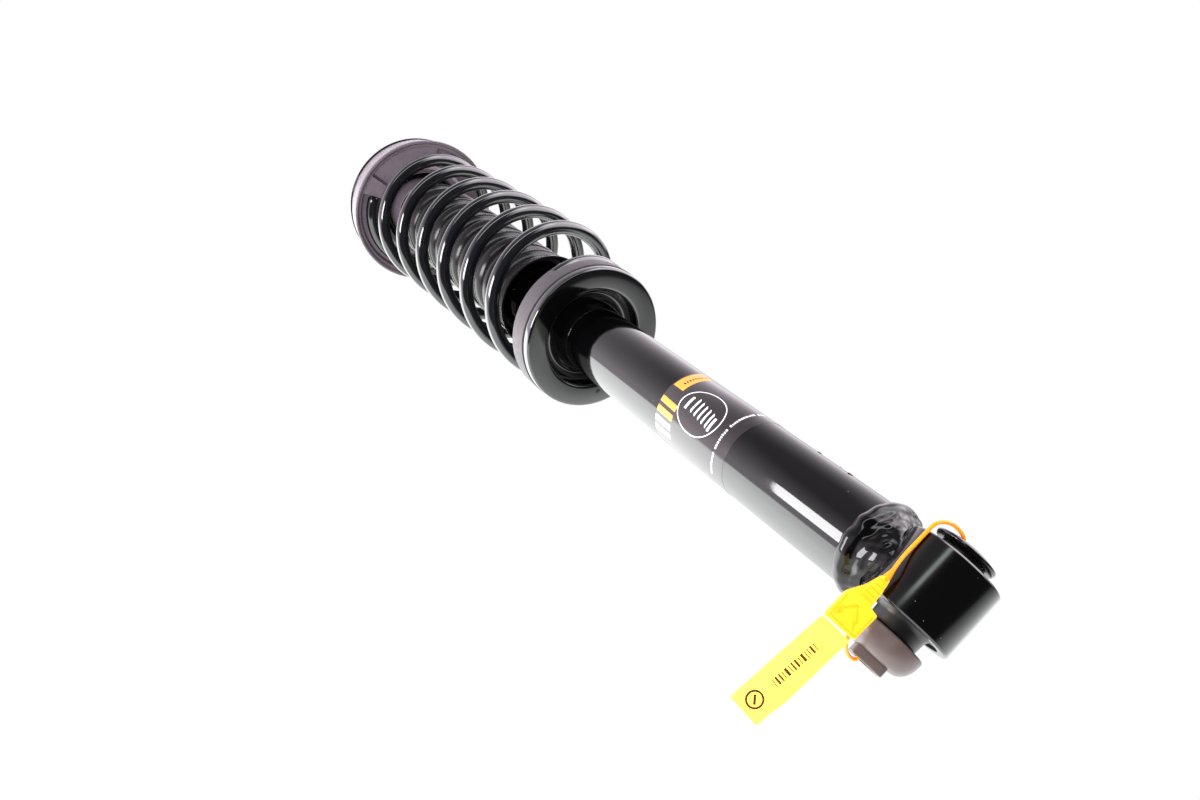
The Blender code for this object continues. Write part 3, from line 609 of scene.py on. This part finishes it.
def make_label():
    """The film round the tube, and the marks on it, each an outline of angle and height."""
    top, foot = LABEL_HIGH_Z, LABEL_LOW_Z
    make_turned("label_sleeve", [
        (LABEL_RADIUS, top), (LABEL_RADIUS, foot), (TUBE_RADIUS, foot), (TUBE_RADIUS, top)],
        label_film, "lower", ["label_band"], sides=160, soft=0.05)
    per_degree = np.radians(1) * LABEL_RADIUS

    def patch(s0, s1, t0, t1, slant=0.0):
        """A bar cut into narrow strips, so that it follows the tube; slant moves its top round."""
        strip = 4
        edges = np.linspace(s0, s1, max(2, int(abs(s1 - s0) / strip)) + 1)
        return [np.array([(a, t0), (b, t0), (b + slant, t1), (a + slant, t1)])
                for a, b in zip(edges[:-1], edges[1:])]

    def oval(centre_s, centre_t, reach, squeeze, line):
        """A closed line between two ellipses, reach high and squeeze times that wide, cut into
        short four-cornered pieces."""
        pieces = 144
        t = np.linspace(0, TAU, pieces + 1)
        outer, inner = (np.stack([centre_s + squeeze * r * np.cos(t) / per_degree,
                                  centre_t + r * np.sin(t)], 1) for r in (reach, reach - line))
        return [np.array([outer[i], outer[i + 1], inner[i + 1], inner[i]]) for i in range(pieces)]

    def slanted_bar(start):
        """One of the four bars beside the film's upper edge."""
        return patch(start, start + 9, 197, 214, 2.0)

    # A spring between two plates, in an oval: its turns are slanted bars.
    white = oval(-91.5, 178.4, 20.0, 0.77, 0.75)
    for step in range(5):
        along, up = 1.4 * step, 4.4 * step
        white += patch(along - 106, along - 84, 167 + up, 168.5 + up, 3.0)
    white += patch(-100, -79, 190.2, 192.2) + patch(-107, -86, 163.2, 165.2)

    # A row of plain ticks of uneven width, with a wider gap after about one in six.
    row_z, row_end, gap, wide_gap, wide_share = 150.4, -24, 1.6, 5.5, 0.16
    marks = np.random.default_rng(6)
    start = -157.0
    while start < row_end:
        wide = marks.uniform(1.6, 2.8)
        white += patch(start, start + wide, row_z, row_z + marks.uniform(1.3, 2.0))
        start += wide + (wide_gap if marks.uniform() < wide_share else gap)
    white += slanted_bar(-157) + slanted_bar(-143)
    orange = patch(-82, -29, 203, 213.4) + slanted_bar(-128) + slanted_bar(-113)
    dark = [part for s0 in np.arange(-72, -34, 4.6) for part in patch(s0, s0 + 2.8, 206.6, 208.8)]
    ink_low, ink_high, over_ink = 0.01, 0.05, 0.08
    for name, outlines, from_n, to_n, ink in (
            ("label_white", white, ink_low, ink_high, white_ink),
            ("label_orange", orange, ink_low, ink_high, orange_ink),
            ("label_dark", dark, ink_high, over_ink, label_film)):
        make_slab(name, outlines, from_n, to_n, label_place, ink, "lower", edge=0.01)


# ---------------------------------------------------------------- seal

def seal_place(u, w, n):
    """The seal's own directions: u out along -X, w across its face, n away from the damper."""
    lean_cos, lean_sin = np.cos(SEAL_LEAN), np.sin(SEAL_LEAN)
    return np.stack([-u, w * lean_cos - n * lean_sin, -w * lean_sin - n * lean_cos], -1)


def make_seal():
    """The seal's tag and clasp as slabs with rounded edges, the ridges and marks on them, and the
    strap as a round section along its route, thicker at the lock."""
    flag = [(45.2, -35.3), (102.1, -40.8), (103.3, -22.7), (93.7, -21.6), (86.3, -20.1),
            (45, -17.7)]
    make_slab("seal_tag", [softened(flag, 1.2, 5)], 16.6, 17.9, seal_place, seal_plastic, "lower",
              ["seal_flag"], 0.35)
    lock = [(12.3, -27.5), (20.2, -29.9), (29.1, -35), (44.3, -35.3), (43.6, -16.9),
            (28, -16.3), (27, -21.5), (19.1, -22), (11.6, -23.4)]
    # The clasp's deeper yellow is painted shade on the same plastic.
    make_slab("seal_clasp", [softened(lock, 1.0, 5)], 15.9, 19.4, seal_place, clasp_painted_shade, "lower",
              ["seal_lock"], 0.6)
    ribs = [box_outline(u, -25.9, 0.9, 6.4 + 0.14 * (u - 19))
            for u in (14.6, 17.4, 20.2, 23.0, 25.6)]
    lean = 38
    chevron = [box_outline(34.2, -29.6, 9.0, 1.1, -lean), box_outline(34.2, -24.2, 9.0, 1.1, lean),
               box_outline(39.0, -31.4, 4.4, 1.1, -lean), box_outline(39.0, -22.2, 4.4, 1.1, lean)]
    rails = [box_outline(42.6, -26.2, 0.8, 16.4), box_outline(36.0, -33.9, 12.0, 0.8),
             box_outline(36.0, -17.9, 12.0, 0.8)]
    outlines = [softened(o, 0.35, 3) for o in ribs + chevron + rails]
    # The ridges' olive yellow is painted shade on the same plastic.
    make_slab("seal_ridges", outlines, 19.0, 20.0, seal_place, rib_painted_shade, "lower",
              edge=0.25)
    border = [box_outline(73.4, -37.3, 54, 0.7, -5.5), box_outline(67.0, -19.8, 40, 0.7, -3.4),
              box_outline(47.2, -26.6, 0.7, 16.4, 0)]
    outlines = [softened(o, 0.3, 3) for o in border]
    make_slab("seal_border", outlines, 17.7, 18.1, seal_place, seal_plastic, "lower",
              edge=0.2)
    # A ring with a stroke in it, and a row of plain bars.
    ring_u, ring_w, ring_out, ring_in, pieces = 95.0, -31.6, 4.6, 3.5, 24
    turn = np.linspace(0, TAU, pieces + 1)
    spoke = np.stack([np.cos(turn), np.sin(turn)], 1)
    rim = [np.array([ring_out * spoke[i], ring_out * spoke[i + 1], ring_in * spoke[i + 1],
                     ring_in * spoke[i]]) + (ring_u, ring_w) for i in range(pieces)]
    row_u, row_w, gap = 58, -27.6, 1.1
    strokes = np.array([0.5, 1.1, 0.5, 0.5, 1.4, 0.5, 1.1, 0.9, 0.5, 1.4, 0.5, 0.9, 1.1, 0.5])
    places = row_u + np.r_[0, np.cumsum(strokes[:-1] / 2 + strokes[1:] / 2 + gap)]
    bars = [box_outline(u, row_w - 0.09 * (u - row_u), wide, 4.2, -5)
            for u, wide in zip(places, strokes)]
    marks = rim + [box_outline(ring_u, ring_w, 4.8, 1.3, 40)] + bars
    make_slab("seal_marks", marks, 17.86, 17.93, seal_place, seal_ink, "lower",
              edge=0.02)

    # From inside the lock, across the eye, back through the bush's bore and up to the lock.
    route = [(13.5, -25.2, 17.6), (8.3, -25.2, 17.4), (5, -25.3, 16.6), (0, -25.2, 14.6),
             (-6, -24.8, 12.8), (-12, -24.6, 12.4), (-19, -24.5, 12.4), (-22.5, -24.2, 12.2),
             (-25.5, -22.8, 11.5), (-28, -20, 10.1), (-29.7, -16.5, 8.3), (-30.3, -13, 6.5),
             (-30.3, -9.8, 4.9), (-29.7, -7, 3.5), (-28.6, -5.4, 2.7), (-27, -4.65, 2.3),
             (-23, -4.6, 2.3), (-10, -4.6, 2.3), (10, -4.6, 2.3), (30, -4.6, 2.3), (43, -4.6, 2.3),
             (46.5, -4.65, 2.3), (48.6, -5, 2.4), (49.6, -6.6, 3.4), (49.8, -9, 5.3),
             (49.5, -12, 8.2), (48.2, -15, 11.4), (46, -17.6, 13.7), (43, -19.4, 14.5)]
    steps = 260
    path = through(seal_place(*np.array(route).T), steps)
    along = np.linspace(0, 1, steps)
    radii = 1.0 + 1.1 * (1 - smooth(along / 0.05))
    across = np.broadcast_to([0.0, 0.2, 0.98], path.shape)
    # The strap's orange is painted shade on the same yellow plastic.
    make_rod_like("seal_loop", path, radii, 16, across, strap_painted_shade, "lower",
                  ["seal_strap"])


# ---------------------------------------------------------------- frame nodes, stage and light

def finish_frame_nodes():
    """The pieces inside the tube and behind the mount keep their frame shape and get a finish."""
    finishes = {
        machined_steel: ["base_cap", "base_valve", "base_valve_disc", "base_valve_pin",
                         "pressure_tube", "rod_guide", "seal_washer", "piston", "piston_nut",
                         "shims_rebound", "shims_compression", "mount_sleeve"],
        zinc_steel: ["rod_washer", "bump_cup"],
        hard_chrome: ["piston_rod"],
        bronze: ["guide_bush", "piston_band", "rebound_stop"],
        mount_rubber: ["rod_seal"],
        gloss_paint: ["strike_cap"],
    }
    for finish, names in finishes.items():
        for name in names:
            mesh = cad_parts[name].data
            mesh.materials.clear()
            mesh.materials.append(finish)


def make_stage():
    """A pale floor well under the damper, seen by the camera and left out of the reflections."""
    mesh = bpy.data.meshes.new("floor")
    half, level = 30.0, -1.3
    mesh.from_pydata([(-half, -half, level), (half, -half, level), (half, half, level),
                      (-half, half, level)], [], [(0, 1, 2, 3)])
    floor = bpy.data.objects.new("floor", mesh)
    bpy.context.scene.collection.objects.link(floor)
    pale = bpy.data.materials.new("pale_floor")
    pale.use_nodes = True
    shader = pale.node_tree.nodes["Principled BSDF"]
    shader.inputs["Base Color"].default_value = linear("F4F4F4")
    shader.inputs["Roughness"].default_value = 0.9
    mesh.materials.append(pale)
    floor.visible_glossy = False
    floor.visible_diffuse = False


def make_camera():
    """The rows of turn are the camera's right, up and back directions. The lens is the sensor's
    width times the focal length over the image's width, both in the image's own units."""
    focal, image_width = 1064.281, 1200
    turn = [(0.6916353, 0.5407931, -0.4787312), (0.7202622, -0.5655543, 0.4017097),
            (-0.0535066, -0.6226486, -0.7806701)]
    data = bpy.data.cameras.new("camera")
    data.sensor_width = 36
    data.lens = data.sensor_width * focal / image_width
    data.clip_start, data.clip_end = 0.01, 100
    camera = bpy.data.objects.new("camera", data)
    bpy.context.scene.collection.objects.link(camera)
    camera.matrix_world = Matrix.Translation((-0.0710794, -0.4585906, -0.2877490)) @ (
        Matrix(turn).transposed().to_4x4())
    bpy.context.scene.camera = camera


def make_studio():
    """A white sweep lit hard from the left, under a dim ceiling, as light from every direction.

    up is the share of a direction that points away from the sweep, side the share to the left along
    it, and z along the damper. Each region's brightness is a smooth ramp of these, and mix(k, a, b)
    is (1 - k) a + k b. The camera itself sees plain white.
    """
    world = bpy.data.worlds.new("studio")
    bpy.context.scene.world = world
    world.use_nodes = True
    tree = world.node_tree
    tree.nodes.clear()
    way = add(tree, "ShaderNodeTexCoord").outputs["Generated"]

    def math(kind, a, b=0.0):
        return add(tree, "ShaderNodeMath", {0: a, 1: b}, operation=kind).outputs[0]

    def along(direction):
        return add(tree, "ShaderNodeVectorMath", {0: way, 1: direction},
                   operation="DOT_PRODUCT").outputs["Value"]

    def ramp(value, start, end, low=0.0, high=1.0, kind="SMOOTHSTEP"):
        return add(tree, "ShaderNodeMapRange", {"Value": value, "From Min": start, "From Max": end,
                                                "To Min": low, "To Max": high},
                   interpolation_type=kind).outputs[0]

    def mix(share, a, b):
        rest = math("SUBTRACT", 1.0, share)
        return math("ADD", math("MULTIPLY", rest, a), math("MULTIPLY", share, b))

    up, side, z = along((0.616, -0.788, 0)), along((-0.788, -0.616, 0)), along((0, 0, 1))
    sweep_edge = math("ADD", up, ramp(z, 0.3, -0.6, 0.0, 0.17))
    on_sweep = ramp(sweep_edge, -0.08, -0.14)
    lit = math("POWER", ramp(side, -0.42, 0.7, kind="LINEAR"), 1.3)
    left = ramp(side, 0.0, 0.6)
    far_sweep = math("ADD", 1.3, math("MULTIPLY", lit, 6.6))
    near_sweep = mix(left, ramp(up, -0.2, -0.64, 0.1, 2.5, "LINEAR"), 3.2)
    sweep = mix(ramp(z, 0.5, 0.1), far_sweep, near_sweep)
    haze = ramp(up, 0.1, 0.8, 2.6, 0.42, "LINEAR")
    ceiling = mix(ramp(z, -0.45, 0.1), 0.09, haze)
    strip = math("MULTIPLY", math("MULTIPLY", ramp(z, -0.2, -0.1), ramp(z, 0.04, -0.05)),
                 ramp(up, 0.76, 0.84))
    right = math("MULTIPLY", math("MULTIPLY", ramp(side, -0.2, -0.5), ramp(up, 0.05, 0.25)),
                 math("MULTIPLY", ramp(z, 0.5, 0.3), ramp(z, -0.75, -0.5)))
    lamps = math("ADD", math("MULTIPLY", strip, 6.0), math("MULTIPLY", right, 5.0))
    above = math("ADD", ceiling, lamps)
    total = mix(on_sweep, above, sweep)
    violet, white, green = (1.0, 0.93, 1.0, 1), (0.985, 1.0, 0.995, 1), (0.85, 1.0, 0.93, 1)
    tint = add(tree, "ShaderNodeMix", {"Factor": on_sweep, MIX_A: violet, MIX_B: white},
               data_type="RGBA")
    colour = add(tree, "ShaderNodeMix",
                 {"Factor": strip, MIX_A: tint.outputs[MIX_OUT], MIX_B: green}, data_type="RGBA")
    studio = add(tree, "ShaderNodeBackground",
                 {"Color": colour.outputs[MIX_OUT], "Strength": total})
    plain = add(tree, "ShaderNodeBackground", {"Color": (1, 1, 1, 1), "Strength": 1.0})
    seen = add(tree, "ShaderNodeLightPath").outputs["Is Camera Ray"]
    both = add(tree, "ShaderNodeMixShader", {0: seen, 1: studio.outputs[0], 2: plain.outputs[0]})
    out = add(tree, "ShaderNodeOutputWorld")
    tree.links.new(both.outputs[0], out.inputs["Surface"])


def make_lamp(name, place, target, width, height, radiance, shows):
    """A soft rectangular lamp aimed at a point, in metres. Its power is pi x area x radiance."""
    data = bpy.data.lights.new(name, "AREA")
    data.shape, data.size, data.size_y = "RECTANGLE", width, height
    data.energy = np.pi * width * height * radiance
    lamp = bpy.data.objects.new(name, data)
    bpy.context.scene.collection.objects.link(lamp)
    lamp.visible_glossy, lamp.visible_camera = shows, False
    aim = Vector(target) - Vector(place)
    turn = aim.to_track_quat("-Z", "Y").to_matrix().to_4x4()
    lamp.matrix_world = Matrix.Translation(place) @ turn


make_damper()
make_weld()
make_eye()
make_spring()
make_seats()
make_boot()
make_mount()
make_label()
make_seal()
finish_frame_nodes()
make_stage()
make_camera()
make_studio()
# The softbox that the paint mirrors, and a wide fill beside the camera that it doesn't.
make_lamp("softbox", (-0.338, -0.520, 0.345), (0, 0, 0.345), 0.24, 0.27, 20, True)
make_lamp("fill", (-0.35, -1.1, -1.0), (0, 0, 0.1), 0.8, 0.8, 20, False)
bpy.context.scene.view_settings.view_transform = "Standard"
